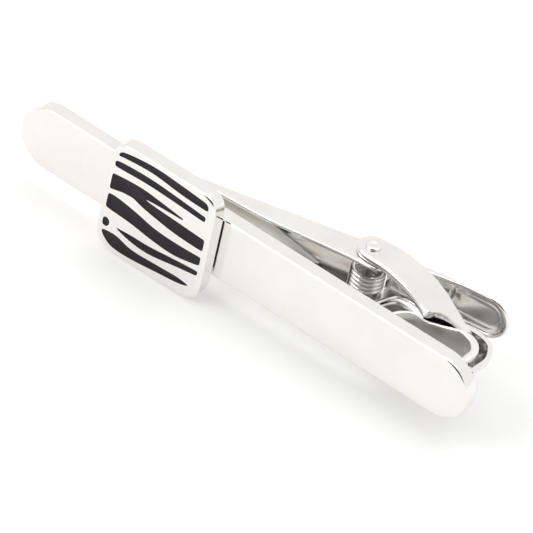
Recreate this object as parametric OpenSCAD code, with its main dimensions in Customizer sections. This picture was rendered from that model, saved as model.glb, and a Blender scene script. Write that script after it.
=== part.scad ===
// Tie clip: a flat bar with an enamelled plaque on its front, and a sprung
// alligator jaw on its back that pinches the tie against the bar.
// X runs along the bar, Z across its width and Y through its depth: the front
// faces -Y. The origin is the centre of the bar's back face.

/* [Bar] */
// Length of the bar
bar_length = 58; // [50:1:70]
// Width of the bar
bar_width = 7.6; // [6.8:0.1:9]
// Thickness of the bar
bar_thick = 1.75; // [1.5:0.05:2.2]

/* [Plaque] */
// Width of the plaque, along the bar
plaque_width = 13.5; // [12:0.1:15]
// Height of the plaque, across the bar
plaque_height = 14; // [12:0.1:16]
// Thickness of the plaque
plaque_thick = 1.8; // [1.2:0.1:2.4]
// Squareness of the plaque's outline, 2 being an ellipse
plaque_squareness = 7; // [4:1:10]
// Place of the plaque's centre along the bar
plaque_x = -9.85; // [-14:0.05:-6]
// Depth of the cells cut for the enamel
cell_depth = 0.4; // [0.2:0.05:0.8]
// How far the enamel lies below the plaque's face
enamel_sink = 0.08; // [0.02:0.01:0.15]
// Standoff between bar and plaque, filled by the solder pad
solder_gap = 0.25; // [0.1:0.05:0.4]

/* [Jaw] */
// Outer width of the jaw
jaw_width = 5.2; // [4.8:0.1:5.3]
// Sheet thickness of the jaw
jaw_sheet = 0.45; // [0.3:0.05:0.6]
// Height of the teeth at the mouth
tooth_height = 0.5; // [0.3:0.1:0.8]

/* [Bracket] */
// Outer width of the pivot bracket
bracket_width = 6.88; // [6.8:0.02:7.2]
// Sheet thickness of the pivot bracket
bracket_sheet = 0.78; // [0.5:0.02:0.78]
// Sheet thickness of the base strap
strap_sheet = 0.5; // [0.4:0.05:0.5]
// Width of the feet soldered to the bar
foot_width = 4.4; // [3:0.1:4.4]

/* [Rivet and spring] */
// Radius of the rivet's shank
rivet_r = 0.5; // [0.4:0.05:0.6]
// Radius of the rivet's heads
rivet_head_r = 0.86; // [0.7:0.02:1]
// Height of the rivet's heads
rivet_head_h = 0.3; // [0.2:0.05:0.4]
// Running clearance between the rivet and the jaw
rivet_clearance = 0.06; // [0.03:0.01:0.1]
// Radius of the spring wire
wire_r = 0.26; // [0.2:0.01:0.26]
// Mean radius of the spring's coil
coil_r = 1.65; // [1.4:0.05:1.65]

/* [Hidden] */
$fn = 48;

pivot = [9.7, 7.15];
plaque_z = 0.25;
plaque_back = -bar_thick - solder_gap;
plaque_face = plaque_back - plaque_thick;
side_margin = 0.62;
top_margin = 0.36;
eps = 0.02;

// Enamel cells: each is a ribbon given by its stations [x, z, half width].
crown_stripe = [[-5.9, 5.4, 0.2], [-5, 5.75, 0.35], [-1.5, 6.1, 0.45], [2.5, 5.8, 0.55],
    [5.8, 5.6, 0.45]];
brow_stripe = [[-6.1, 4.1, 0.35], [-5, 4.25, 0.45], [-1, 4.4, 0.45], [5.7, 4, 0.35]];
fork_upper = [[-6.6, 1.6, 0.95], [-5.8, 1.8, 1], [-3.5, 2.25, 0.8], [-1.5, 2.55, 0.5],
    [3.2, 2.4, 0.1]];
fork_lower = [[-4.7, 1.9, 0.8], [-3, 1.9, 0.7], [-1.5, 1.35, 0.6], [2.6, 0.9, 0.8],
    [6.6, 0.75, 0.75]];
broad_stripe = [[-6.6, -0.85, 0.85], [-5.2, -0.85, 1], [-2.8, -1.1, 0.9], [0, -1.6, 0.8],
    [3, -1.75, 0.8], [6.6, -1.3, 0.5]];
slim_stripe = [[-4.4, -3.6, 0.05], [-2.4, -3.8, 0.4], [0, -3.85, 0.5], [3.5, -3.35, 0.4],
    [6.2, -3, 0.3]];
foot_stripe = [[-6, -4.8, 0.1], [-5.4, -5.05, 0.5], [-4.2, -5.4, 0.85], [-2, -5.7, 0.6],
    [1.5, -5.45, 0.45], [4, -5.25, 0.35], [5.4, -5.15, 0.05]];
dot_centre = [-5.75, -3.6];
dot_size = [0.5, 0.6];

// Side profiles of the sheet metal, as [x, y] seen along Z.
jaw_back = [[-16.5, 2.2], [-12, 2.85], [-8.2, 3.75], [0, 6.15], [8, 8.45], [13, 9.65],
    [18, 10.65], [21.6, 11.3], [26, 11.9]];
jaw_edge = [[-16.5, 1.55], [-6.2, 2.63], [-0.5, 3.15], [8.4, 4.8], [11, 5.15], [11.7, 5.6],
    [12.1, 6.6], [12.5, 7.9], [12.95, 8.7], [13.8, 8.95], [15.9, 9.2], [20.6, 10.4], [26, 11.2]];
jaw_mouth_x = -16.5;
jaw_tail_x = 24.9;
grip_end_x = -0.5;
grip_point_x = 5.5;
hook_path = [[22.9, 5.24], [24.7, 5.35], [25.7, 5.2], [26.6, 4.82], [27.15, 4.2], [27.6, 3.4],
    [27.84, 2.6], [27.85, 1.8], [27.8, 0.9], [27.8, 0.05]];
web_path = [[26.66, 0.62], [26.72, 1.1], [26.6, 1.9], [25.99, 2.83], [25.08, 3.37], [23.77, 3.68],
    [22.45, 3.56], [21.43, 3.35], [19.9, 2.98], [18.68, 2.28], [15.9, 0.72]];
ear_outer = [[9.9, 8.9], [11.7, 9.05], [13.4, 8.98], [16.2, 8.4], [18.5, 7.5], [20.6, 6.4],
    [22.4, 5.35], [23.8, 4.5], [24.6, 4.1]];
ear_inner = [[23.7, 3.8], [22.7, 4.36], [21.8, 4.5], [20.9, 4.34], [20.2, 3.9], [19.75, 3.25],
    [19.4, 2.95], [18.7, 3.3], [17.2, 4], [15.5, 4.65], [13.8, 5.12], [12.1, 5.38], [10.4, 5.42]];
ear_r = 1.72;

// The base strap: its foot, the cross piece at the bar's end and the hook on one side.
strap_y = 0.01;
strap_from = 17;
strap_cross = [27.2, 28.05];
hook_z = [2.1, 2.6];
hook_web = 0.18;
hook_gap = 0.06;

// The bracket: its foot, its heel's legs, and the cuts that free the ears and trim the tongue.
foot_y = 0.52;
foot_sheet = 0.6;
foot_x = [17.4, 26.4];
leg_x = [26.4, 27];
leg_height = 1.2;
leg_z = 2.65;
slot_x = [20.1, 23.7];
slot_deep = 0.79;
cut_height = 6;
tongue_corner = [[15, 2], [17.2, 3.5], [15, 3.5]];

// The spring: a leg under the thumb end, the coil, and a leg on the web.
spring_low_z = -1.8;
spring_high_z = 0.62;
spring_turns = 4.576;
low_leg_angle = -102.5;
high_leg = [[11.3, 8.08], [11.9, 8.02], [13.2, 8.4], [17.8, 9.75]];
low_leg = [[19.2, 3.4]];

// A point of the smooth curve through a list of stations, after station i by the share t.
function between(p, i, t) =
    let (last = len(p) - 1, a = p[max(i - 1, 0)], b = p[i], c = p[min(i + 1, last)], d = p[min(i + 2, last)])
    0.5 * (2 * b + (c - a) * t + (2 * a - 5 * b + 4 * c - d) * t * t + (3 * b - a - 3 * c + d) * t * t * t);
function smooth(p, n = 5) =
    concat([for (i = [0:len(p) - 2], k = [0:n - 1]) between(p, i, k / n)], [p[len(p) - 1]]);
function unit(v) = v / norm(v);
function heading(p, i) =
    let (d = p[min(i + 1, len(p) - 1)] - p[max(i - 1, 0)]) unit([d[0], d[1]]);
function left_of(d) = [-d[1], d[0]];
// One side of a ribbon: its stations moved sideways by side times their half widths.
function edge(p, side) =
    [for (i = [0:len(p) - 1]) [p[i][0], p[i][1]] + side * p[i][2] * left_of(heading(p, i))];
function reversed(p) = [for (i = [len(p) - 1:-1:0]) p[i]];
function ribbon(stations) = let (s = smooth(stations)) concat(edge(s, 1), reversed(edge(s, -1)));
function strip(path, sheet) = ribbon([for (q = path) [q[0], q[1], sheet / 2]]);
function power(v, n) = sign(v) * pow(abs(v), n);

// A superellipse, the cushion outline of the plaque.
module cushion(w, h) {
    polygon([for (a = [0:3.75:359])
        [w / 2 * power(cos(a), 2 / plaque_squareness), h / 2 * power(sin(a), 2 / plaque_squareness)]]);
}

// Puts an outline drawn in X and Z at depth y, growing towards -Y.
module facing_front(y, thick) {
    translate([0, y, 0]) rotate([90, 0, 0]) linear_extrude(thick) children();
}

// Puts a side profile drawn in X and Y centred on the bar's midplane.
module across(width) {
    linear_extrude(width, center = true) children();
}

module front_bar() {
    end_r = bar_width / 2;
    color("whitesmoke") facing_front(0, bar_thick) union() {
        square([bar_length - bar_width, bar_width], center = true);
        for (side = [-1, 1]) translate([side * (bar_length / 2 - end_r), 0]) circle(end_r, $fn = 96);
    }
}

module cell_outline(name) {
    intersection() {
        cushion(plaque_width - 2 * side_margin, plaque_height - 2 * top_margin);
        if (name == "crown") polygon(ribbon(crown_stripe));
        else if (name == "brow") polygon(ribbon(brow_stripe));
        else if (name == "forked") union() {
            polygon(ribbon(fork_upper));
            polygon(ribbon(fork_lower));
        }
        else if (name == "broad") polygon(ribbon(broad_stripe));
        else if (name == "slim") polygon(ribbon(slim_stripe));
        else if (name == "foot") polygon(ribbon(foot_stripe));
        else translate(dot_centre) polygon([for (a = [0:12:359])
            [dot_size[0] * cos(a), dot_size[1] * sin(a)]]);
    }
}

module plaque() {
    color("gainsboro") difference() {
        translate([plaque_x, 0, plaque_z]) facing_front(plaque_back, plaque_thick)
            cushion(plaque_width, plaque_height);
        for (name = ["crown", "brow", "forked", "broad", "dot", "slim", "foot"])
            translate([plaque_x, 0, plaque_z])
                facing_front(plaque_face + cell_depth, cell_depth + eps) cell_outline(name);
    }
}

module plaque_solder() {
    pad_width = plaque_width - 2.5;
    pad_height = bar_width - 1;
    color("silver") translate([plaque_x, 0, 0]) facing_front(-bar_thick, solder_gap)
        square([pad_width, pad_height], center = true);
}

module enamel(name) {
    color([0.13, 0.12, 0.14]) translate([plaque_x, 0, plaque_z])
        facing_front(plaque_face + cell_depth, cell_depth - enamel_sink) cell_outline(name);
}

// A flat foot under the bracket, with a thin-webbed hook round the heel on the +Z side.
module base_strap() {
    cross_low = -foot_width / 2;
    color("silver") {
        translate([strap_from, strap_y, cross_low])
            cube([strap_cross[0] - strap_from, strap_sheet, foot_width]);
        translate([strap_cross[0], strap_y, cross_low])
            cube([strap_cross[1] - strap_cross[0], strap_sheet, hook_z[1] - cross_low]);
        translate([0, 0, hook_z[0]]) {
            linear_extrude(hook_z[1] - hook_z[0]) polygon(strip(hook_path, strap_sheet));
            linear_extrude(hook_web) difference() {
                polygon(smooth(hook_path));
                polygon(smooth(web_path));
                polygon(strip(web_path, bracket_sheet + 2 * hook_gap));
            }
        }
    }
}

module ear_outline() {
    difference() {
        union() {
            polygon(concat(smooth(ear_outer), smooth(ear_inner)));
            translate(pivot) circle(ear_r);
        }
        translate(pivot) circle(rivet_r);
    }
}

// An outline drawn in X and Z, cut through the web from above, on both sides.
module cut_both_sides() {
    for (side = [0, 1]) mirror([0, 0, side]) translate([0, cut_height, 0]) rotate([90, 0, 0])
        linear_extrude(cut_height) children();
}

module pivot_bracket() {
    half = bracket_width / 2;
    color("gainsboro") {
        for (z = [-half, half - bracket_sheet]) translate([0, 0, z])
            linear_extrude(bracket_sheet) ear_outline();
        difference() {
            across(bracket_width) polygon(strip(web_path, bracket_sheet));
            // Relief slots free the ears from the web, tapering towards the heel.
            cut_both_sides() polygon([[slot_x[0], half - slot_deep], [slot_x[1], half],
                [slot_x[1], half + eps], [slot_x[0], half + eps]]);
            cut_both_sides() polygon(tongue_corner);
        }
        // The foot, laid on the base strap's foot, and a leg beside it on each side.
        translate([foot_x[0], foot_y, -foot_width / 2])
            cube([foot_x[1] - foot_x[0], foot_sheet, foot_width]);
        for (side = [0, 1]) mirror([0, 0, side]) translate([leg_x[0], strap_y, leg_z])
            cube([leg_x[1] - leg_x[0], leg_height, half - leg_z]);
    }
}

// A fillet of solder along each side of the stacked feet.
module heel_solder() {
    fillet = 0.55;
    toe = 0.06;
    from = 17.8;
    length = 7;
    color("silver") for (side = [0, 1]) mirror([0, 0, side])
        translate([from, 0, foot_width / 2]) rotate([0, 90, 0]) rotate([0, 0, 90])
            linear_extrude(length) difference() {
                square(fillet);
                translate([fillet, fillet]) circle(fillet - toe);
            }
}

module pivot_rivet() {
    half = bracket_width / 2;
    dimple_r = 0.34;
    color("whitesmoke") translate([pivot[0], pivot[1], 0]) rotate_extrude() polygon([
        [0, -half - rivet_head_h], [rivet_head_r * 0.75, -half - rivet_head_h],
        [rivet_head_r, -half - rivet_head_h * 0.5], [rivet_head_r, -half], [rivet_r, -half],
        [rivet_r, half], [rivet_head_r, half], [rivet_head_r, half + rivet_head_h * 0.5],
        [rivet_head_r * 0.75, half + rivet_head_h], [dimple_r, half + rivet_head_h],
        [dimple_r * 0.5, half + rivet_head_h - 0.1], [0, half + rivet_head_h - 0.1]]);
}

function coil_point(angle, z) = [pivot[0] + coil_r * cos(angle), pivot[1] + coil_r * sin(angle), z];
function at_height(p, z) = [for (q = p) [q[0], q[1], z]];
coil_steps = 100;
spring_path = concat(
    reversed(at_height(low_leg, spring_low_z)),
    [for (i = [0:coil_steps]) coil_point(low_leg_angle - 360 * spring_turns * i / coil_steps,
        spring_low_z + (spring_high_z - spring_low_z) * i / coil_steps)],
    at_height(high_leg, spring_high_z));

// A round wire along a route, closed by a flat face at each end.
module wire(route, r, sides = 10) {
    last = len(route) - 1;
    rings = [for (i = [0:last])
        let (along = unit(route[min(i + 1, last)] - route[max(i - 1, 0)]),
            across_it = unit(cross(along, [0, 0, 1])), up = cross(across_it, along))
        for (k = [0:sides - 1])
            route[i] + r * (cos(360 * k / sides) * across_it + sin(360 * k / sides) * up)];
    walls = [for (i = [0:last - 1], k = [0:sides - 1])
        let (a = i * sides + k, b = i * sides + (k + 1) % sides) [a, b, b + sides, a + sides]];
    polyhedron(rings, concat(walls, [[for (k = [sides - 1:-1:0]) k]],
        [[for (k = [0:sides - 1]) last * sides + k]]), convexity = 10);
}

module torsion_spring() {
    color("darkgray") wire(spring_path, wire_r);
}

// The jaw's outline seen from the back, inset by the sheet where asked.
module jaw_plan(inset) {
    w = jaw_width - 2 * inset;
    tail_r = w / 2;
    mouth_r = 0.9;    // the round of the mouth's corners
    from = jaw_mouth_x + inset;
    to = jaw_tail_x - inset - tail_r;
    union() {
        translate([from + mouth_r, -w / 2]) square([to - from - mouth_r, w]);
        translate([from, -w / 2 + mouth_r]) square([2 * mouth_r, w - 2 * mouth_r]);
        for (side = [-1, 1]) translate([from + mouth_r, side * (w / 2 - mouth_r)]) circle(mouth_r);
        translate([to, 0]) circle(tail_r);
    }
}

module jaw() {
    deep = 30;                          // well past the jaw in the outline cuts
    below = -5;                         // and well below its free edges
    window_low = [7.55, 6, -2.15];      // the opening in the roof that the coil stands in
    window_high = [11.1, 12, 2.15];
    tooth_count = 5;
    lip_width = 3.4;
    lip_low = 0.08;                     // the teeth stand this clear of the bar's back
    lip_high = 1.9;                     // and the lip joins the roof here
    back = smooth(jaw_back);
    lowered = [for (q = back) q - [0, jaw_sheet]];
    free_edge = smooth(jaw_edge);
    color("gainsboro") {
        difference() {
            intersection() {
                across(2 * jaw_width) polygon(concat(back, reversed(free_edge)));
                facing_front(deep / 2, deep) jaw_plan(0);
            }
            // The hollow of the channel.
            intersection() {
                across(jaw_width) polygon(concat(lowered, [[jaw_tail_x, below], [jaw_mouth_x, below]]));
                facing_front(deep / 2, deep) jaw_plan(jaw_sheet);
            }
            translate(window_low) cube(window_high - window_low);
            translate([pivot[0], pivot[1], -jaw_width]) cylinder(r = rivet_r + rivet_clearance, h = 2 * jaw_width);
        }
        // The grip face: the flanges' flaps folded in to a point.
        intersection() {
            across(jaw_width) polygon(concat(free_edge, reversed([for (q = free_edge) q + [0, jaw_sheet]])));
            facing_front(deep / 2, deep) intersection() {
                jaw_plan(jaw_sheet / 2);
                polygon([[jaw_mouth_x, -jaw_width / 2], [grip_end_x, -jaw_width / 2],
                    [grip_point_x, 0], [grip_end_x, jaw_width / 2], [jaw_mouth_x, jaw_width / 2]]);
            }
        }
        // The toothed lip turned down at the mouth.
        pitch = lip_width / tooth_count;
        translate([jaw_mouth_x, 0, 0]) rotate([0, 90, 0]) linear_extrude(jaw_sheet)
            polygon(concat([[lip_width / 2, lip_high], [-lip_width / 2, lip_high]],
                [for (i = [0:tooth_count - 1]) for (k = [0, 1])
                    [-lip_width / 2 + (i + 0.5 * k) * pitch, k == 0 ? lip_low + tooth_height : lip_low]],
                [[lip_width / 2, lip_low + tooth_height]]));
    }
}

front_bar();
plaque();
plaque_solder();
enamel("crown");  // enamel_crown_stripe
enamel("brow");  // enamel_brow_stripe
enamel("forked");  // enamel_forked_stripe
enamel("broad");  // enamel_broad_stripe
enamel("dot");  // enamel_dot
enamel("slim");  // enamel_slim_stripe
enamel("foot");  // enamel_foot_stripe
base_strap();
pivot_bracket();
heel_solder();
pivot_rivet();
torsion_spring();
jaw();
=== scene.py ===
"""Tie clip with an enamelled plaque and a sprung alligator jaw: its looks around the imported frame.

The frame is the CAD part's: X along the bar away from the plaque, Y out of the bar's back, so that its
front faces -Y, and Z across its width. Sizes and places of shapes are in millimetres, and MM turns
them to metres. What is in metres already says so.
"""
import math

import bmesh
import bpy
from mathutils import Matrix, Vector


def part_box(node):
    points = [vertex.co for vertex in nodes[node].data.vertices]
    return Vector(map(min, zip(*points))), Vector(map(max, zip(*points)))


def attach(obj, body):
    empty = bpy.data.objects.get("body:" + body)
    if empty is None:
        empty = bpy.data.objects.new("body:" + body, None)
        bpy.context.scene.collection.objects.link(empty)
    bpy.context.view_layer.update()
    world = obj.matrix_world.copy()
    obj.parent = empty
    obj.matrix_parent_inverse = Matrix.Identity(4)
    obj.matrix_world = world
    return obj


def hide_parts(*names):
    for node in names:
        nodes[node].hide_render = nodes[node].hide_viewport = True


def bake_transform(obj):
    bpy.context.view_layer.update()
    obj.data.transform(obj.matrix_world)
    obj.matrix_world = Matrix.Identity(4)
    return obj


MM = 0.001

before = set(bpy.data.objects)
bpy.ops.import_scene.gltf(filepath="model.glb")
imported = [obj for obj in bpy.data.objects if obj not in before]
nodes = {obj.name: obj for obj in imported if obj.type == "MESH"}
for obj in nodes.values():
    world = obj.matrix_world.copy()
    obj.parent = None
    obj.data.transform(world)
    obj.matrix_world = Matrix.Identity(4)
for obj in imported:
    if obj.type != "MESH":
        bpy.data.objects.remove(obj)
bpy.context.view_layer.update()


# ---------------------------------------------------------------- camera
# The view's direction and roll, then how far its centre lies from the middle of the bar's front.
CAMERA_FORWARD = Vector((-0.3697, 0.6747, -0.6389)).normalized()
CAMERA_ROLL = Vector((-0.4947, 0.4391, 0.75))
CAMERA_UP = -CAMERA_ROLL.cross(CAMERA_FORWARD).cross(CAMERA_FORWARD).normalized()
CAMERA_RIGHT = CAMERA_FORWARD.cross(CAMERA_UP)
CENTRE_RIGHT, CENTRE_UP = 2.496, -0.364
BAR_FRONT = Vector((0, -1.75, 0))
CAMERA_DISTANCE = 2000
FRAME_WIDTH = 54.6
SENSOR_WIDTH = 36


def make_camera():
    """A long lens far away, almost without perspective."""
    data = bpy.data.cameras.new("camera")
    data.sensor_width = SENSOR_WIDTH
    data.lens = SENSOR_WIDTH * CAMERA_DISTANCE / FRAME_WIDTH
    data.clip_start = 0.1
    data.clip_end = 20
    camera = bpy.data.objects.new("camera", data)
    bpy.context.scene.collection.objects.link(camera)
    aim = BAR_FRONT + CAMERA_RIGHT * CENTRE_RIGHT + CAMERA_UP * CENTRE_UP
    place = (aim - CAMERA_FORWARD * CAMERA_DISTANCE) * MM
    turn = Matrix((CAMERA_RIGHT, CAMERA_UP, -CAMERA_FORWARD)).transposed()
    camera.matrix_world = Matrix.Translation(place) @ turn.to_4x4()
    bpy.context.scene.camera = camera


# ---------------------------------------------------------------- materials
class Nodes:
    """Short names for building one material's node tree. Bump distances are in metres."""

    def __init__(self, name, metallic=0.0):
        self.material = bpy.data.materials.new(name)
        self.material.use_nodes = True
        self.tree = self.material.node_tree
        self.shader = self.tree.nodes["Principled BSDF"]
        self.shader.inputs["Metallic"].default_value = metallic

    def add(self, kind, **inputs):
        """A new node with these input values, their names written with _ for a space."""
        node = self.tree.nodes.new(kind)
        for key, value in inputs.items():
            node.inputs[key.replace("_", " ")].default_value = value
        return node

    def link(self, source, target):
        self.tree.links.new(source, target)

    def noise(self, scale, detail=2, stretch=(1, 1, 1), roughness=0.5):
        """Noise over the object's own coordinates, drawn out along some axes by the stretch."""
        coordinates = self.add("ShaderNodeTexCoord")
        mapping = self.add("ShaderNodeMapping", Scale=stretch)
        node = self.add("ShaderNodeTexNoise", Scale=scale, Detail=detail, Roughness=roughness)
        self.link(coordinates.outputs["Object"], mapping.inputs["Vector"])
        self.link(mapping.outputs["Vector"], node.inputs["Vector"])
        return node.outputs["Fac"]

    def ramp(self, source, low, high, start=0.3, end=0.7):
        """A number from low to high as the source goes from start to end."""
        node = self.add("ShaderNodeMapRange", From_Min=start, From_Max=end, To_Min=low, To_Max=high)
        self.link(source, node.inputs["Value"])
        return node.outputs["Result"]

    def colours(self, source, *stops):
        """A colour that follows the source through the stops, each a place and a colour."""
        node = self.add("ShaderNodeValToRGB")
        ramp = node.color_ramp
        while len(ramp.elements) < len(stops):
            ramp.elements.new(0.5)
        for element, (at, colour) in zip(ramp.elements, stops):
            element.position = at
            element.color = (*colour, 1)
        self.link(source, node.inputs["Fac"])
        return node.outputs["Color"]

    def bump(self, height, distance, strength, below=None):
        """A normal pushed about by the height, on top of another bump if one is given."""
        node = self.add("ShaderNodeBump", Strength=strength, Distance=distance)
        self.link(height, node.inputs["Height"])
        if below is not None:
            self.link(below, node.inputs["Normal"])
        return node.outputs["Normal"]

    def complete(self, colour, roughness, normal):
        """Feeds the shader's three procedural inputs and gives the finished material."""
        self.link(colour, self.shader.inputs["Base Color"])
        self.link(roughness, self.shader.inputs["Roughness"])
        self.link(normal, self.shader.inputs["Normal"])
        return self.material


def plate_material(name, light, shade, rough, stretch, depth):
    """Bright plated metal: cloudy tone, fine polish lines along the stretch and a few dull patches."""
    make = Nodes(name, metallic=1.0)
    clouds = make.noise(scale=260, detail=3)
    scuffs = make.noise(scale=900, detail=6, roughness=0.7)
    lines = make.noise(scale=20, detail=3, stretch=stretch)
    colour = make.colours(clouds, (0.3, shade), (0.7, light))
    dull = make.ramp(scuffs, *rough, start=0.35, end=0.75)
    fine = make.bump(lines, depth, strength=0.35)
    wavy = make.bump(clouds, depth * 12, strength=0.25, below=fine)
    return make.complete(colour, dull, wavy)


def enamel_material():
    """Satin charcoal enamel, a little cloudy, with fine pits."""
    make = Nodes("black_enamel")
    make.shader.inputs["IOR"].default_value = 1.45
    make.shader.inputs["Specular IOR Level"].default_value = 0.25
    clouds = make.noise(scale=500, detail=4)
    grain = make.noise(scale=3500, detail=4)
    colour = make.colours(clouds, (0.3, (0.010, 0.0085, 0.0115)), (0.7, (0.019, 0.016, 0.021)))
    pits = make.bump(grain, 0.00002, strength=0.4)
    return make.complete(colour, make.ramp(grain, 0.3, 0.5), pits)


def solder_material():
    """Grey solder with an uneven, half-dull skin."""
    make = Nodes("solder", metallic=1.0)
    clouds = make.noise(scale=1400, detail=5)
    colour = make.colours(clouds, (0.3, (0.42, 0.42, 0.42)), (0.7, (0.62, 0.61, 0.60)))
    lumps = make.bump(clouds, 0.00006, strength=0.5)
    return make.complete(colour, make.ramp(clouds, 0.28, 0.45), lumps)


def painted_shade_material(dark, middle, light):
    """Painted shade: a dark, blotched metal skin that stands in for the shade in hollows and folds."""
    make = Nodes("painted_shade", metallic=0.8)
    blotches = make.noise(scale=1500, detail=5, roughness=0.65)
    colour = make.colours(blotches, (0.36, dark), (0.52, middle), (0.68, light))
    lumps = make.bump(blotches, 0.00008, strength=0.6)
    return make.complete(colour, make.ramp(blotches, 0.5, 0.3), lumps)


MATERIALS = {
    "polished_plate": plate_material("polished_plate", light=(0.90, 0.876, 0.85),
        shade=(0.865, 0.842, 0.815), rough=(0.10, 0.20), stretch=(30, 300, 300), depth=0.000004),
    "sheet_plate": plate_material("sheet_plate", light=(0.90, 0.878, 0.855),
        shade=(0.83, 0.81, 0.79), rough=(0.12, 0.24), stretch=(40, 500, 500), depth=0.000006),
    "inner_plate": plate_material("inner_plate", light=(0.92, 0.90, 0.87),
        shade=(0.82, 0.80, 0.775), rough=(0.3, 0.46), stretch=(40, 500, 500), depth=0.000006),
    "rivet_plate": plate_material("rivet_plate", light=(0.90, 0.875, 0.855),
        shade=(0.82, 0.80, 0.78), rough=(0.22, 0.36), stretch=(200, 200, 200), depth=0.000006),
    "spring_wire": plate_material("spring_wire", light=(0.88, 0.865, 0.845),
        shade=(0.72, 0.705, 0.69), rough=(0.22, 0.38), stretch=(200, 200, 200), depth=0.000006),
    "black_enamel": enamel_material(),
    "solder": solder_material(),
    # Both dark skins are painted shade: a blotched one in the hook's hollow, a near-black one in the folds by
    # the ears.
    "tarnish": painted_shade_material((0.02, 0.019, 0.018), (0.10, 0.095, 0.09), (0.42, 0.41, 0.40)),
    "shade": painted_shade_material((0.004, 0.004, 0.004), (0.008, 0.008, 0.008), (0.02, 0.02, 0.02)),
}


def dress(obj, material):
    obj.data.materials.clear()
    obj.data.materials.append(MATERIALS[material])


# ---------------------------------------------------------------- numbers and curves
def share_of(value, start, run):
    """How far a value has come along a run that begins at start, from 0 to 1."""
    return min(max((value - start) / run, 0), 1)


def ease(value, start, run):
    """The same share, with a soft start and a soft end."""
    share = share_of(value, start, run)
    return share * share * (3 - 2 * share)


def sweep(first, last, steps):
    """Evenly spaced angles in radians, between two given in degrees and with both of them."""
    return [math.radians(first + (last - first) * k / steps) for k in range(steps + 1)]


def circle(centre, radius, sides):
    """A circle as points (x, y)."""
    return [(centre[0] + radius * math.cos(angle), centre[1] + radius * math.sin(angle))
        for angle in sweep(0, 360, sides)[:-1]]


def catmull(points, steps):
    """A smooth curve through the points, as the CAD's own profiles are."""
    last = len(points) - 1
    curve = []
    for i in range(last):
        a, b = points[max(i - 1, 0)], points[i]
        c, d = points[i + 1], points[min(i + 2, last)]
        for k in range(steps):
            t = k / steps
            curve.append(tuple(0.5 * (2 * q + (r - p) * t + (2 * p - 5 * q + 4 * r - w) * t * t
                + (3 * q - p - 3 * r + w) * t * t * t) for p, q, r, w in zip(a, b, c, d)))
    curve.append(tuple(points[last]))
    return curve


def height_at(curve, x):
    """The height at x of a profile, given as (x, y) in rising x."""
    if x <= curve[0][0]:
        return curve[0][1]
    for (x0, y0), (x1, y1) in zip(curve, curve[1:]):
        if x <= x1:
            return y0 + (y1 - y0) * (x - x0) / max(x1 - x0, 1e-9)
    return curve[-1][1]


def between(near, far, share):
    """The points a share of the way from one curve to another, as (x, y)."""
    return [(x0 + (x1 - x0) * share, y0 + (y1 - y0) * share) for (x0, y0), (x1, y1) in zip(near, far)]


def neighbours(points):
    """Each point of a closed outline, with the one before it and the one after it."""
    return zip(points[-1:] + points[:-1], points, points[1:] + points[:1])


# ---------------------------------------------------------------- mesh helpers
SHARP_ANGLE = math.radians(35)
MERGE_DISTANCE = 0.001


def new_object(name, vertices, faces):
    mesh = bpy.data.meshes.new(name)
    mesh.from_pydata([tuple(c * MM for c in v) for v in vertices], [], faces)
    obj = bpy.data.objects.new(name, mesh)
    bpy.context.scene.collection.objects.link(obj)
    return obj


def clean(piece):
    """Merges doubled vertices, turns every face outwards and marks the sharp edges."""
    work = bmesh.new()
    work.from_mesh(piece.data)
    bmesh.ops.remove_doubles(work, verts=work.verts, dist=MERGE_DISTANCE * MM)
    bmesh.ops.dissolve_degenerate(work, edges=work.edges, dist=MERGE_DISTANCE * MM)
    bmesh.ops.recalc_face_normals(work, faces=work.faces)
    work.to_mesh(piece.data)
    work.free()
    piece.data.shade_smooth()
    piece.data.set_sharp_from_angle(angle=SHARP_ANGLE)


def build(name, vertices, faces, material, body, replaces=(), slot=None):
    """A piece of the clip, with its body, its material and the CAD nodes that it stands for. Its slot is not
    used.
    """
    piece = new_object(name, vertices, faces)
    clean(piece)
    dress(piece, material)
    if body:
        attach(piece, body)
    if replaces:
        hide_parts(*replaces)
    return piece


def bevel_edges(obj, radius):
    """Rounds the object's edges by a modifier, which it gives."""
    bevel = obj.modifiers.new("edges", "BEVEL")
    bevel.width = radius * MM
    bevel.segments = 3
    return bevel


def soften(obj, radius):
    """Welds an object's split vertices and rounds its sharp edges."""
    weld = obj.modifiers.new("weld", "WELD")
    weld.merge_threshold = 2 * MERGE_DISTANCE * MM
    bevel = bevel_edges(obj, radius)
    bevel.limit_method = "ANGLE"
    bevel.angle_limit = SHARP_ANGLE
    bevel.harden_normals = True
    bevel.use_clamp_overlap = True


def bake_modifiers(piece):
    """Replaces a piece's mesh by what its modifiers make of it."""
    graph = bpy.context.evaluated_depsgraph_get()
    mesh = bpy.data.meshes.new_from_object(piece.evaluated_get(graph))
    piece.modifiers.clear()
    piece.data = mesh
    clean(piece)


def join_rings(rings, close_ring=True, cap=True):
    """Vertices and faces between rings of equal length, with flat ends if asked."""
    count = len(rings[0])
    vertices = [v for ring in rings for v in ring]
    faces = []
    span = count if close_ring else count - 1
    for r in range(len(rings) - 1):
        for k in range(span):
            a, b = r * count + k, r * count + (k + 1) % count
            faces.append((a, b, b + count, a + count))
    if cap:
        faces.append(tuple(range(count)))
        faces.append(tuple(range((len(rings) - 1) * count, len(rings) * count))[::-1])
    return vertices, faces


def join_strips(strips):
    """Vertices and faces round a solid made of strips side by side, with both its ends closed."""
    vertices, faces = join_rings(strips + strips[:1], close_ring=False, cap=False)
    count = len(strips[0])
    faces.append(tuple(k * count for k in range(len(strips))))
    faces.append(tuple(k * count + count - 1 for k in range(len(strips)))[::-1])
    return vertices, faces


def box_faces(low, high):
    """Vertices and faces of a box between two corners."""
    corners = [(x, y, z) for x in (low[0], high[0]) for y in (low[1], high[1]) for z in (low[2], high[2])]
    faces = [(0, 1, 3, 2), (4, 6, 7, 5), (0, 4, 5, 1), (2, 3, 7, 6), (0, 2, 6, 4), (1, 5, 7, 3)]
    return corners, faces


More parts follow.
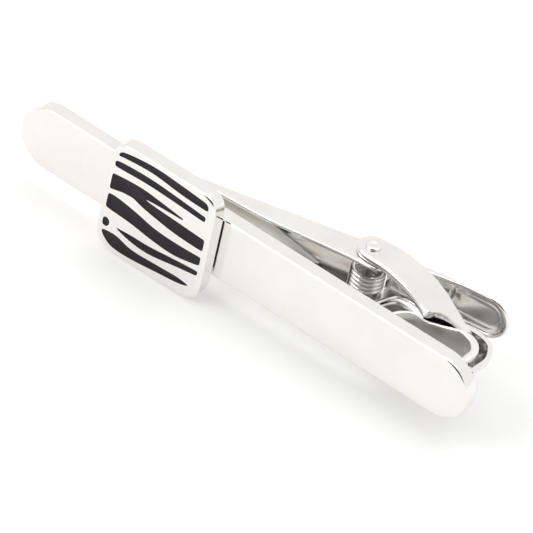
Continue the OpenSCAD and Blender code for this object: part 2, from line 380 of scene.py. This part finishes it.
def plain_solid(name, vertices, faces):
    """A mesh that is no piece of the clip, with its faces turned outwards."""
    solid = new_object(name, vertices, faces)
    work = bmesh.new()
    work.from_mesh(solid.data)
    bmesh.ops.recalc_face_normals(work, faces=work.faces)
    work.to_mesh(solid.data)
    work.free()
    return solid


def post_cutter(centre, radius, low, high):
    """A round post along Z."""
    outline = circle(centre, radius, sides=40)
    return plain_solid("cutter", *join_rings([[(x, y, z) for x, y in outline] for z in (low, high)]))


def cut(piece, *cutters):
    """Takes the cutters' solids out of the piece."""
    for cutter in cutters:
        boolean = piece.modifiers.new("cut", "BOOLEAN")
        boolean.operation = "DIFFERENCE"
        boolean.solver = "EXACT"
        boolean.object = cutter
    bake_modifiers(piece)
    for cutter in cutters:
        bpy.data.objects.remove(cutter)


def plate_levels(front, front_edge, back, back_edge, steps):
    """The inset and y of each ring of a plate, from its front face round its edges to its back face.

    An edge is given by how far it reaches in over the face and how far it reaches down the side.
    """
    levels = []
    for angle in sweep(0, 90, steps):
        levels.append((front_edge[0] * (1 - math.sin(angle)), front + front_edge[1] * (1 - math.cos(angle))))
    for angle in sweep(90, 0, steps):
        levels.append((back_edge[0] * (1 - math.sin(angle)), back - back_edge[1] * (1 - math.cos(angle))))
    return levels


# ---------------------------------------------------------------- bar
BAR_LENGTH, BAR_WIDTH, BAR_THICK = 58, 7.6, 1.75
BAR_FRONT_EDGE, BAR_BACK_EDGE = (0.26, 0.26), (0.14, 0.14)
# Two more rings on the flat front keep the rounded edge's smooth shading off its middle.
BAR_FACE_INSETS = (1.6, 0.8)


def stadium(length, width, inset, arc_steps=48):
    """Outline of a bar with full-round ends as (x, z), moved inwards by the inset."""
    radius, reach = width / 2 - inset, length / 2 - width / 2
    points = []
    for side in (1, -1):
        for angle in sweep(-90, 90, arc_steps):
            points.append((side * (reach + radius * math.cos(angle)), side * radius * math.sin(angle)))
    return points


def make_bar():
    """The bar's slab with a rounded front edge and a finer back edge."""
    levels = [(inset, -BAR_THICK) for inset in BAR_FACE_INSETS]
    levels += plate_levels(-BAR_THICK, BAR_FRONT_EDGE, 0, BAR_BACK_EDGE, steps=6)
    rings = [[(x, y, z) for x, z in stadium(BAR_LENGTH, BAR_WIDTH, inset)] for inset, y in levels]
    build("bar_slab", *join_rings(rings), "polished_plate", "bar", ["front_bar"])


# ---------------------------------------------------------------- plaque and enamel
PLAQUE_SQUARENESS = 7
PLAQUE_FRONT_EDGE, PLAQUE_BACK_EDGE = (0.42, 0.3), (0.1, 0.1)
CELL_DEPTH, ENAMEL_SINK = 0.4, 0.08
CUTTER_RISE = 0.1
# Inset and depth of an enamel filling's rings: its wall, then its meniscus, then the start of its face.
ENAMEL_RINGS = [(0, CELL_DEPTH), (0, 0.035), (0.025, 0.06), (0.06, ENAMEL_SINK), (0.11, ENAMEL_SINK + 0.008)]


def front_outline(node):
    """The outline of a CAD node's front face as (x, z), walked edge by edge."""
    work = bmesh.new()
    work.from_mesh(nodes[node].data)
    bmesh.ops.remove_doubles(work, verts=work.verts, dist=MERGE_DISTANCE * MM)
    beside = {}
    for edge in work.edges:
        if sum(face.normal.y < -0.9 for face in edge.link_faces) == 1:
            a, b = edge.verts
            beside.setdefault(a, []).append(b)
            beside.setdefault(b, []).append(a)
    start = min(beside, key=lambda v: (v.co.x, v.co.z))
    loop, before, here = [start], None, start
    while True:
        following = [v for v in beside[here] if v is not before]
        before, here = here, following[0]
        if here is start:
            break
        loop.append(here)
    points = [(v.co.x / MM, v.co.z / MM) for v in loop]
    work.free()
    return points


def rounded_loop(points, step=0.07, rounds=14):
    """A closed outline at even steps, smoothed so that its corners come out round."""
    even = []
    for (x0, z0), (x1, z1) in zip(points, points[1:] + points[:1]):
        count = max(1, round(math.hypot(x1 - x0, z1 - z0) / step))
        even += [(x0 + (x1 - x0) * k / count, z0 + (z1 - z0) * k / count) for k in range(count)]
    for _ in range(rounds):
        even = [((ax + 2 * bx + cx) / 4, (az + 2 * bz + cz) / 4)
            for (ax, az), (bx, bz), (cx, cz) in neighbours(even)]
    return even


def inset_loop(points, distance):
    """The outline moved inwards by a small distance."""
    area = sum(x0 * z1 - x1 * z0 for (x0, z0), (x1, z1) in zip(points, points[1:] + points[:1]))
    turn = 1 if area > 0 else -1
    moved = []
    for (ax, az), (bx, bz), (cx, cz) in neighbours(points):
        run = math.hypot(cx - ax, cz - az) or 1
        moved.append((bx - turn * distance * (cz - az) / run, bz + turn * distance * (cx - ax) / run))
    return moved


def cushion(width, height, centre, steps=180):
    """The plaque's cushion outline, a superellipse, as (x, z)."""
    power = 2 / PLAQUE_SQUARENESS
    points = []
    for k in range(steps):
        angle = 2 * math.pi * (k + 0.5) / steps
        c, d = math.cos(angle), math.sin(angle)
        points.append((centre[0] + width / 2 * math.copysign(abs(c) ** power, c),
            centre[1] + height / 2 * math.copysign(abs(d) ** power, d)))
    return points


def make_plaque():
    """The plaque with a pillowed edge and a cell for each stripe, and the enamel that fills them."""
    low, high = [[c / MM for c in corner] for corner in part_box("plaque")]
    centre = ((low[0] + high[0]) / 2, (low[2] + high[2]) / 2)
    width, height, face, back = high[0] - low[0], high[2] - low[2], low[1], high[1]
    levels = plate_levels(face, PLAQUE_FRONT_EDGE, back, PLAQUE_BACK_EDGE, steps=7)
    rings = [[(x, y, z) for x, z in cushion(width - 2 * inset, height - 2 * inset, centre)]
        for inset, y in levels]
    body = build("plaque_body", *join_rings(rings), "polished_plate", "bar", ["plaque"])
    stripes = {name: rounded_loop(front_outline(name)) for name in sorted(nodes) if name.startswith("enamel")}
    cutters = []
    for loop in stripes.values():
        walls = [[(x, y, z) for x, z in loop] for y in (face - CUTTER_RISE, face + CELL_DEPTH)]
        cutters.append(plain_solid("cutter", *join_rings(walls)))
    cut(body, *cutters)
    for name, loop in stripes.items():
        rings = [[(x, face + deep, z) for x, z in inset_loop(loop, inset)] for inset, deep in ENAMEL_RINGS]
        build(name.replace("enamel", "inlay"), *join_rings(rings), "black_enamel", "bar", [name])


# ---------------------------------------------------------------- jaw
PIVOT = (9.7, 7.15)
# Side profiles from the mouth to the tail: the top of the jaw's back and the free edge of its walls.
JAW_BACK = catmull([(-16.5, 2.2), (-12, 2.85), (-8.2, 3.75), (0, 6.15), (8, 8.45), (13, 9.65),
    (18, 10.65), (21.6, 11.3), (26, 11.9)], 6)
JAW_EDGE = catmull([(-16.5, 1.55), (-6.2, 2.63), (-0.5, 3.15), (8.4, 4.8), (11, 5.15), (11.7, 5.6),
    (12.1, 6.6), (12.5, 7.9), (12.95, 8.7), (13.8, 8.95), (15.9, 9.2), (20.6, 10.4), (26, 11.2)], 6)
JAW_MOUTH, JAW_TAIL, JAW_WIDTH, JAW_SHEET = -16.5, 24.9, 5.2, 0.45
TAIL_CENTRE = JAW_TAIL - JAW_WIDTH / 2
MOUTH_ROUND = 0.9
OUTER_BEND, INNER_BEND = 0.62, 0.25
WALL_SHARES = (0, 0.35, 0.7, 1)
LEAST_WALL = 0.01
BEND_STEPS, ROOF_STEPS, EDGE_STEPS = 7, 6, 8
WINDOW_LOW, WINDOW_HIGH = (7.55, 6.8, -2.15), (11.1, 11, 2.15)
JAW_HOLE, JAW_HOLE_REACH = 0.56, 4
# The thumb end's pressing: where it starts along the jaw and inside its outline, and over what run.
PRESS_HEIGHT = 0.2
PRESS_ALONG, PRESS_ALONG_RUN = 17.9, 1.1
PRESS_INSIDE, PRESS_INSIDE_RUN = 0.75, 0.6


def jaw_outline(inset, side_steps=150, tail_steps=40, corner_steps=8, mouth_steps=8):
    """Plan of the jaw as (x, z): square with small corners at the mouth, round at the tail."""
    half, mouth, corner = JAW_WIDTH / 2 - inset, JAW_MOUTH + inset, MOUTH_ROUND - inset
    start, straight = mouth + corner, TAIL_CENTRE - mouth - corner
    points = []
    for k in range(side_steps):
        points.append((start + straight * k / side_steps, -half))
    for angle in sweep(-90, 90, tail_steps):
        points.append((TAIL_CENTRE + half * math.cos(angle), half * math.sin(angle)))
    for k in range(1, side_steps + 1):
        points.append((TAIL_CENTRE - straight * k / side_steps, half))
    for angle in sweep(90, 180, corner_steps)[1:]:
        points.append((start + corner * math.cos(angle), half - corner + corner * math.sin(angle)))
    for k in range(1, mouth_steps + 1):
        points.append((mouth, (half - corner) * (1 - 2 * k / mouth_steps)))
    for angle in sweep(180, 270, corner_steps)[1:-1]:
        points.append((start + corner * math.cos(angle), -half + corner + corner * math.sin(angle)))
    return points


def jaw_depth(x, z, inset):
    """How far a point of the plan lies inside the outline with that inset."""
    half = JAW_WIDTH / 2 - inset
    if x > TAIL_CENTRE:
        return half - math.hypot(x - TAIL_CENTRE, z)
    return min(half - abs(z), x - JAW_MOUTH - inset)


def thumb_press(x, z):
    """The thumb end is pressed out a little, with a soft crease where that starts."""
    along = ease(x, PRESS_ALONG, PRESS_ALONG_RUN)
    inside = ease(jaw_depth(x, z, 0), PRESS_INSIDE, PRESS_INSIDE_RUN)
    return PRESS_HEIGHT * along * inside


def roof_share(deep, reach, bend, half):
    """How far a ring of that depth takes an outline point on its way to the middle line."""
    if not reach:
        return 1
    if deep <= bend:
        return min(deep / reach, 1)
    start = min(bend / reach, 1)
    return start + (1 - start) * (deep - bend) / (half - bend)


def bend_fall(depth, bend):
    """How far the rolled bend lies below the back, at a depth inside the outline."""
    if depth >= bend:
        return 0
    return bend - math.sqrt(max(bend * bend - (bend - depth) ** 2, 0))


def jaw_skin(inset, bend):
    """Rings of the sheet's face at that inset: up the wall, round the bend and in to the middle line."""
    outline = jaw_outline(inset)
    half = JAW_WIDTH / 2 - inset
    rings = []
    for share in WALL_SHARES:
        ring = []
        for x, z in outline:
            low = height_at(JAW_EDGE, x) + JAW_SHEET / 2
            high = max(height_at(JAW_BACK, x) - inset - bend, low + LEAST_WALL)
            ring.append((x, low + (high - low) * share, z))
        rings.append(ring)
    depths = [bend * (1 - math.cos(angle)) for angle in sweep(0, 90, BEND_STEPS)[1:]]
    depths += [bend + (half - bend) * k / ROOF_STEPS for k in range(1, ROOF_STEPS + 1)]
    for deep in depths:
        ring = []
        for x, z in outline:
            target_x = min(max(x, JAW_MOUTH + inset + half), TAIL_CENTRE)
            share = roof_share(deep, math.hypot(target_x - x, z), bend, half)
            px, pz = x + (target_x - x) * share, z * (1 - share)
            fall = bend_fall(max(jaw_depth(px, pz, inset), 0), bend)
            ring.append((px, height_at(JAW_BACK, px) - inset - fall + thumb_press(px, pz), pz))
        rings.append(ring)
    return rings


def make_jaw():
    """The jaw's pressed channel with rolled bends and a round free edge, its window and its pivot hole."""
    outline, inside = jaw_outline(0), jaw_outline(JAW_SHEET)
    edge = []
    for angle in sweep(0, 180, EDGE_STEPS)[1:-1]:
        share, sink = (1 - math.cos(angle)) / 2, JAW_SHEET / 2 * math.sin(angle)
        edge.append([(x, height_at(JAW_EDGE, x) + JAW_SHEET / 2 - sink, z)
            for x, z in between(outline, inside, share)])
    rings = jaw_skin(0, OUTER_BEND)[::-1] + edge + jaw_skin(JAW_SHEET, INNER_BEND)
    shell = build("jaw_shell", *join_rings(rings, cap=False), "sheet_plate", "jaw", ["jaw"])
    window = plain_solid("cutter", *box_faces(WINDOW_LOW, WINDOW_HIGH))
    cut(shell, window, post_cutter(PIVOT, JAW_HOLE, -JAW_HOLE_REACH, JAW_HOLE_REACH))


# ---------------------------------------------------------------- grip and lip
GRIP_START, GRIP_NARROWS, GRIP_END, GRIP_POINT = -16.3, -0.5, 5.4, 5.5
GRIP_HALF, GRIP_TIP_HALF = 2.3, 0.02
GRIP_LIFT, GRIP_EDGE = 0.02, 0.2
LIP_TEETH, LIP_WIDTH, LIP_LOW, LIP_HIGH, TOOTH_HEIGHT = 5, 3.4, 0.08, 1.9, 0.5
LIP_SET_BACK, LIP_EDGE = 0.01, 0.06


def grip_half(x):
    """The folded flaps' half width: even along the mouth, then narrowing to a point."""
    if x < GRIP_NARROWS:
        return GRIP_HALF
    return GRIP_HALF * (GRIP_POINT - x) / (GRIP_POINT - GRIP_NARROWS) + GRIP_TIP_HALF


def make_grip(even_steps=40, narrow_steps=24, edge_steps=6):
    """The flaps folded in between the jaw's walls, ending in a point."""
    stations = [GRIP_START + (GRIP_NARROWS - GRIP_START) * k / even_steps for k in range(even_steps + 1)]
    stations += [GRIP_NARROWS + (GRIP_END - GRIP_NARROWS) * k / narrow_steps
        for k in range(1, narrow_steps + 1)]
    rings = []
    for x in stations:
        half, middle = grip_half(x), height_at(JAW_EDGE, x) + GRIP_LIFT + JAW_SHEET / 2
        out = min(GRIP_EDGE, half / 2)
        ring = []
        for side in (1, -1):
            for angle in sweep(0, 180, edge_steps):
                y = middle - side * JAW_SHEET / 2 * math.cos(angle)
                ring.append((x, y, side * (half - out + out * math.sin(angle))))
        rings.append(ring)
    build("jaw_grip", *join_rings(rings), "inner_plate", "jaw", slot="sheet_plate")


def make_lip():
    """The toothed lip turned down at the mouth."""
    half, pitch = LIP_WIDTH / 2, LIP_WIDTH / LIP_TEETH
    outline = [(half, LIP_HIGH), (-half, LIP_HIGH)]
    for k in range(LIP_TEETH):
        outline.append((-half + k * pitch, LIP_LOW + TOOTH_HEIGHT))
        outline.append((-half + (k + 0.5) * pitch, LIP_LOW))
    outline.append((half, LIP_LOW + TOOTH_HEIGHT))
    rings = [[(x, y, z) for z, y in outline] for x in (JAW_MOUTH + LIP_SET_BACK, JAW_MOUTH + JAW_SHEET)]
    lip = build("jaw_lip", *join_rings(rings), "sheet_plate", "jaw")
    bevel_edges(lip, LIP_EDGE)
    bake_modifiers(lip)


# ---------------------------------------------------------------- spring
WIRE, COIL = 0.26, 1.65
SPRING_LOW, SPRING_HIGH = -1.8, 0.62
TURNS, LOW_ANGLE = 4.576, -102.5
LOW_LEG_END, LOW_LEG_START, LOW_LEG_STEPS = (19.2, 3.4), (9.6, 5.47), 16
HIGH_LEG = [(11.3, 8.08), (11.9, 8.02), (13.2, 8.4), (17.8, 9.75)]
# A wire end's rings: how many, how far round the dome they go, and the dome's height over the wire.
CAP_RINGS, CAP_TURN, CAP_HEIGHT = 3, 90 * 3 / 3.4, 0.7


def spring_route(coil_steps=190):
    """The wire's centre line: the leg on the bracket, the coil, and the leg under the jaw."""
    (x0, y0), (x1, y1) = LOW_LEG_END, LOW_LEG_START
    route = []
    for k in range(LOW_LEG_STEPS):
        share = k / LOW_LEG_STEPS
        route.append((x0 + (x1 - x0) * share, y0 + (y1 - y0) * share, SPRING_LOW))
    for k in range(coil_steps + 1):
        angle = math.radians(LOW_ANGLE - 360 * TURNS * k / coil_steps)
        route.append((PIVOT[0] + COIL * math.cos(angle), PIVOT[1] + COIL * math.sin(angle),
            SPRING_LOW + (SPRING_HIGH - SPRING_LOW) * k / coil_steps))
    leg = catmull([route[-1][:2]] + HIGH_LEG, 5)
    return [Vector(p) for p in route + [(x, y, SPRING_HIGH) for x, y in leg[1:]]]


def wire_end(ring, centre, outward):
    """Rings of a low dome that closes a wire's end."""
    caps = []
    for angle in sweep(0, CAP_TURN, CAP_RINGS)[1:]:
        rise = outward * WIRE * CAP_HEIGHT * math.sin(angle)
        caps.append([tuple(centre + rise + (Vector(p) - centre) * math.cos(angle)) for p in ring])
    return caps


def make_spring(sides=14):
    """A drawn wire with rounded ends, wound round the rivet."""
    route = spring_route()
    last = len(route) - 1
    rings = []
    for i, point in enumerate(route):
        along = (route[min(i + 1, last)] - route[max(i - 1, 0)]).normalized()
        side = along.cross(Vector((0, 0, 1))).normalized()
        up = side.cross(along)
        rings.append([tuple(point + a * side + b * up) for a, b in circle((0, 0), WIRE, sides)])
    first_cap = wire_end(rings[0], route[0], (route[0] - route[1]).normalized())
    last_cap = wire_end(rings[-1], route[-1], (route[-1] - route[-2]).normalized())
    rings = first_cap[::-1] + rings + last_cap
    spring = build("spring_coil", *join_rings(rings), "spring_wire", None, ["torsion_spring"])
    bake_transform(spring)


# ---------------------------------------------------------------- bracket
BRACKET_HALF = 3.44
EAR_SHEET, LUG_RADIUS, EAR_HOLE, EAR_HOLE_REACH = 0.72, 1.72, 0.51, (2, 4)
# Stations of an ear from the rivet to the heel: the inner edge's x, y and the outer edge's x, y.
EAR_STATIONS = [(10.2, 5.4, 10.2, 8.9), (12.1, 5.4, 12.1, 9.05), (13.8, 5.1, 14.2, 8.85),
    (15.5, 4.65, 16.4, 8.35), (17.2, 4.0, 18.4, 7.55), (18.6, 3.3, 20.0, 6.75), (19.4, 2.95, 21.0, 6.15),
    (19.9, 3.2, 21.6, 5.8), (20.4, 3.7, 22.0, 5.6), (21.1, 4.0, 22.5, 5.3), (22.0, 4.1, 23.1, 4.95),
    (22.9, 3.95, 23.9, 4.5), (23.8, 3.65, 24.8, 4.0)]
# Past this x, over this run, the ear's round edge turns into a bevel, and its sheet gets a little thicker.
EAR_TURNS, EAR_TURN_RUN = 18.2, 1.2
EAR_CORNER, EAR_ROUND = 0.14, 0.4
TURNED_FLATNESS, TURNED_DROP, TURNED_SHEET = 0.9, 0.2, 0.1
# The corner that the web's section has where its sheet is thick enough.
WEB_CORNER = 0.15
# Stations of the web from its foot on the bar to the tongue: x, y, sheet thickness and half width.
WEB_STATIONS = [(26.65, 0.55, 0.86, 3.44), (26.7, 1.1, 0.86, 3.44), (26.6, 1.9, 0.86, 3.44),
    (26, 2.8, 0.86, 3.44), (25.1, 3.35, 0.8, 3.44), (23.8, 3.6, 0.55, 3.4), (22.9, 3.5, 0.38, 3.1),
    (21.9, 3.3, 0.34, 2.85), (20.9, 3.1, 0.34, 2.7), (19.9, 2.8, 0.36, 2.6), (18.7, 2.2, 0.4, 3.2),
    (17.4, 1.45, 0.44, 3.0), (15.9, 0.7, 0.44, 1.9)]
# The foot on the strap and the heel's legs on the bar, as boxes between two corners.
BRACKET_BLOCKS = [
    ("bracket_foot", (17.4, 0.52, -2.2), (26.4, 1.1, 2.2)),
    ("bracket_leg_near", (26.28, 0.01, 2.65), (27.06, 1.2, 3.42)),
    ("bracket_leg_far", (26.28, 0.01, -3.42), (27.06, 1.2, -2.65)),
]
BLOCK_EDGE = 0.12
# The fold's curves in side view, at the ear's edge and at the web, and its section between them: the
# share of the way from the first curve to the second, and the distance from the middle plane.
FOLD_ARCH = catmull([(19.3, 3.3), (20.0, 4.0), (20.8, 4.5), (21.9, 4.65), (22.9, 4.4), (23.7, 4.1)], 5)
FOLD_LOW = catmull([(19.3, 2.7), (20.2, 3.0), (21.0, 3.2), (21.9, 3.4), (22.8, 3.55), (23.6, 3.65)], 5)
FOLD_SECTION = ((0, 2.42), (0.25, 2.3), (0.6, 2.24), (1, 2.22), (1, 2.1), (0.5, 2.12), (0, 2.2))


def rounded_section(a0, a1, b0, b1, radius, steps):
    """A rectangle from (a0, b0) to (a1, b1) with rounded corners, as points from corner a0, b0."""
    corners = ((a0, b0, 180), (a1, b0, 270), (a1, b1, 0), (a0, b1, 90))
    points = []
    for a, b, start in corners:
        centre_a = a + radius if a == a0 else a - radius
        centre_b = b + radius if b == b0 else b - radius
        for angle in sweep(start, start + 90, steps):
            points.append((centre_a + radius * math.cos(angle), centre_b + radius * math.sin(angle)))
    return points


def ear_section(wide, inner_z, turned, corner_steps=4, round_steps=6):
    """The ear's section: a full round on its inner edge, which flattens to a bevel as it turns."""
    radius = min(EAR_CORNER, wide * 0.2)
    across = min(EAR_ROUND, wide * 0.4)
    down = across + TURNED_DROP * turned
    points = rounded_section(0, wide, inner_z, BRACKET_HALF, radius, corner_steps)
    points = points[:-(corner_steps + 1)]
    power = 2 / (2 - TURNED_FLATNESS * turned)
    for angle in sweep(0, 90, round_steps):
        points.append((across * (1 - math.sin(angle) ** power),
            BRACKET_HALF - down * (1 - math.cos(angle) ** power)))
    return points


def make_ear(name, side, lug_steps=14):
    """One ear: a plate with a full round inner edge outside, a round lug and the rivet's hole."""
    stations = []
    for angle in sweep(0, 90, lug_steps)[1:-1]:
        x, reach = PIVOT[0] - LUG_RADIUS * math.cos(angle), LUG_RADIUS * math.sin(angle)
        stations.append((x, PIVOT[1] - reach, x, PIVOT[1] + reach))
    stations += catmull(EAR_STATIONS, 6)
    rings = []
    for ix, iy, ox, oy in stations:
        wide = math.hypot(ox - ix, oy - iy)
        turned = share_of(ix, EAR_TURNS, EAR_TURN_RUN)
        section = ear_section(wide, BRACKET_HALF - EAR_SHEET - TURNED_SHEET * turned, turned)
        rings.append([(ix + (ox - ix) * a / wide, iy + (oy - iy) * a / wide, side * z) for a, z in section])
    ear = build(name, *join_rings(rings), "sheet_plate", "bar")
    low, high = EAR_HOLE_REACH
    cut(ear, post_cutter(PIVOT, EAR_HOLE, side * low, side * high))


def make_web():
    """The bracket's web, thick at the heel and thin at the tongue."""
    stations = catmull(WEB_STATIONS, 6)
    rings = []
    for i, (x, y, thick, half) in enumerate(stations):
        before, after = stations[max(i - 1, 0)], stations[min(i + 1, len(stations) - 1)]
        run = Vector((after[0] - before[0], after[1] - before[1])).normalized()
        radius = min(WEB_CORNER, thick * 0.4)
        section = rounded_section(-thick / 2, thick / 2, -half, half, radius, steps=3)
        rings.append([(x - run.y * a, y + run.x * a, z) for a, z in section])
    build("bracket_web", *join_rings(rings), "inner_plate", "bar", ["pivot_bracket"], slot="sheet_plate")


def make_bracket_blocks():
    """The bracket's foot and its two legs, as plain blocks with softened edges."""
    for name, low, high in BRACKET_BLOCKS:
        block = build(name, *box_faces(low, high), "sheet_plate", "bar")
        soften(block, BLOCK_EDGE)
        bake_modifiers(block)


def make_fold(name, side):
    """The fold between the web and an ear: a trough that closes the relief slot, coloured near black as
    painted shade.
    """
    strips = [[(x, y, side * z) for x, y in between(FOLD_ARCH, FOLD_LOW, share)]
        for share, z in FOLD_SECTION]
    build(name, *join_strips(strips), "shade", "bar", slot="sheet_plate")


# ---------------------------------------------------------------- hook
HOOK_INNER = catmull([(27.6, 0.5), (27.6, 1.8), (27.58, 2.55), (27.38, 3.25), (26.95, 4.05), (26.5, 4.6),
    (25.65, 4.95), (24.7, 5.1), (23.2, 5.0)], 5)
HEEL_OUTER = catmull([(27.1, 0.5), (27.08, 1.2), (26.97, 2.05), (26.6, 2.75), (26.1, 3.2), (25.5, 3.6),
    (24.9, 3.85), (24.2, 4.0), (23.4, 4.05)], 5)
HOOK_FLOOR = 2.28
# The hollow's section: the share of the way from the hook's rim to the heel, and the height there.
HOLLOW_SECTION = ((0, 0.2), (0.15, 0.13), (0.35, 0.08), (0.6, 0.05), (1, 0.03), (1, 0.002), (0, 0.002))


def make_hollow():
    """The hook's pressed hollow: its floor dips from the rim to the heel, and its dark blotched colour is
    painted shade.
    """
    strips = [[(x, y, HOOK_FLOOR + height) for x, y in between(HOOK_INNER, HEEL_OUTER, share)]
        for share, height in HOLLOW_SECTION]
    build("hook_hollow", *join_strips(strips), "tarnish", "bar", slot="solder")


# ---------------------------------------------------------------- rivet
RIVET_SHANK = 0.5
# Each head's profile as its radius and its height over the ear's outer face.
LOWER_HEAD = [(0, 0.3), (0.4, 0.29), (0.66, 0.24), (0.8, 0.14), (0.84, 0.03), (0.8, 0)]
UPPER_HEAD = [(0.8, 0), (0.85, 0.04), (0.84, 0.14), (0.78, 0.23), (0.68, 0.28), (0.56, 0.3), (0.38, 0.3),
    (0.33, 0.28), (0.28, 0.26), (0.16, 0.25), (0, 0.25)]


def make_rivet():
    """The rivet: a shank and two peened heads, the upper one dimpled."""
    profile = [(radius, -BRACKET_HALF - height) for radius, height in LOWER_HEAD]
    profile += [(RIVET_SHANK, -BRACKET_HALF), (RIVET_SHANK, BRACKET_HALF)]
    profile += [(radius, BRACKET_HALF + height) for radius, height in UPPER_HEAD]
    rings = [[(x, y, z) for x, y in circle(PIVOT, radius, sides=48)] for radius, z in profile]
    build("rivet", *join_rings(rings, cap=False), "rivet_plate", "bar", ["pivot_rivet"])


# ---------------------------------------------------------------- all the pieces
make_bar()
make_plaque()
make_jaw()
make_grip()
make_lip()
make_spring()
make_ear("bracket_ear_near", 1)
make_ear("bracket_ear_far", -1)
make_web()
make_bracket_blocks()
make_fold("bracket_fold_near", 1)
make_fold("bracket_fold_far", -1)
make_hollow()
make_rivet()

# The CAD nodes that stay, with their materials and the radius of their softened edges.
KEPT = [
    ("plaque_solder", "solder", 0),
    ("base_strap", "sheet_plate", 0.12),
    ("heel_solder", "solder", 0.05),
]
for name, material, radius in KEPT:
    dress(nodes[name], material)
    if radius:
        soften(nodes[name], radius)


# ---------------------------------------------------------------- studio
# The sky's brightness, the darker opening round the camera, and where one turns into the other, as
# the cosine of the angle to the camera.
SKY, OPENING = 1.0, 0.03
OPENING_EDGE, OPENING_CORE = 0.74, 0.93
SKY_COLOUR = (1.0, 0.995, 0.985, 1)
# Square lamps that face the origin: name, place in metres, radiance and side in metres.
LAMPS = (
    ("key", (-0.55, -0.7, 0.8), 2.6, 0.75),
    ("top", (0.1, 0.25, 1.3), 1.6, 0.9),
)
FLOOR_HALF, FLOOR_DROP, FLOOR_GLOW = 3000, 0.2, 0.36
# Grey cards just above the floor that show only in reflections: first x, last x, first y, last y, tone.
CARDS = (
    (14, 18, -0.5, 8, 0.3),
    (18.3, 20.4, -0.5, 8, 0.36),
    (20.4, 25, -0.5, 8, 0.5),
    (2, 14, 0.5, 9, 0.06),
)
CARD_LIFT = 0.05


def level_square(x0, x1, y0, y1, z):
    """Vertices and the one face of a level rectangle."""
    return [(x0, y0, z), (x1, y0, z), (x1, y1, z), (x0, y1, z)], [(0, 1, 2, 3)]


def make_floor(height):
    """A pale paper floor with a little glow of its own."""
    floor = new_object("floor", *level_square(-FLOOR_HALF, FLOOR_HALF, -FLOOR_HALF, FLOOR_HALF, height))
    paper = Nodes("paper")
    grain = paper.noise(scale=60)
    paper.link(paper.colours(grain, (0.3, (0.61, 0.61, 0.61)), (0.7, (0.63, 0.63, 0.63))),
        paper.shader.inputs["Base Color"])
    paper.shader.inputs["Emission Color"].default_value = (1, 1, 1, 1)
    paper.shader.inputs["Emission Strength"].default_value = FLOOR_GLOW
    paper.shader.inputs["Roughness"].default_value = 0.9
    floor.data.materials.append(paper.material)


def make_sky():
    """An even sky with a darker opening in the direction of the camera, as in a light tent."""
    world = bpy.data.worlds.new("studio")
    bpy.context.scene.world = world
    world.use_nodes = True
    tree = world.node_tree
    background = tree.nodes["Background"]
    background.inputs["Color"].default_value = SKY_COLOUR
    coordinates = tree.nodes.new("ShaderNodeTexCoord")
    towards_camera = tree.nodes.new("ShaderNodeVectorMath")
    towards_camera.operation = "DOT_PRODUCT"
    towards_camera.inputs[1].default_value = -CAMERA_FORWARD
    level = tree.nodes.new("ShaderNodeMapRange")
    level.interpolation_type = "SMOOTHSTEP"
    level.inputs["From Min"].default_value = OPENING_EDGE
    level.inputs["From Max"].default_value = OPENING_CORE
    level.inputs["To Min"].default_value = SKY
    level.inputs["To Max"].default_value = OPENING
    tree.links.new(coordinates.outputs["Generated"], towards_camera.inputs[0])
    tree.links.new(towards_camera.outputs["Value"], level.inputs["Value"])
    tree.links.new(level.outputs["Result"], background.inputs["Strength"])


def make_lamps():
    """Soft lamps, bright enough for the radiance that each one names."""
    for name, place, radiance, side in LAMPS:
        data = bpy.data.lights.new(name, "AREA")
        data.shape = "SQUARE"
        data.size = side
        data.energy = radiance * math.pi * side * side
        lamp = bpy.data.objects.new(name, data)
        lamp.location = place
        lamp.rotation_euler = (-Vector(place)).to_track_quat("-Z", "Y").to_euler()
        bpy.context.scene.collection.objects.link(lamp)


def make_cards(height):
    """Cards that tone what the polished metal reflects, and that nothing else sees."""
    for k, (x0, x1, y0, y1, tone) in enumerate(CARDS):
        card = plain_solid(f"flag_{k}", *level_square(x0, x1, y0, y1, height))
        card.visible_camera = False
        card.visible_diffuse = False
        card.visible_shadow = False
        velvet = Nodes("velvet")
        velvet.shader.inputs["Base Color"].default_value = (tone, tone, tone, 1)
        velvet.shader.inputs["Roughness"].default_value = 1.0
        card.data.materials.append(velvet.material)


floor_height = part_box("plaque")[0][2] / MM - FLOOR_DROP
make_camera()
make_floor(floor_height)
make_sky()
make_lamps()
make_cards(floor_height + CARD_LIFT)
bpy.context.scene.view_settings.view_transform = "Standard"
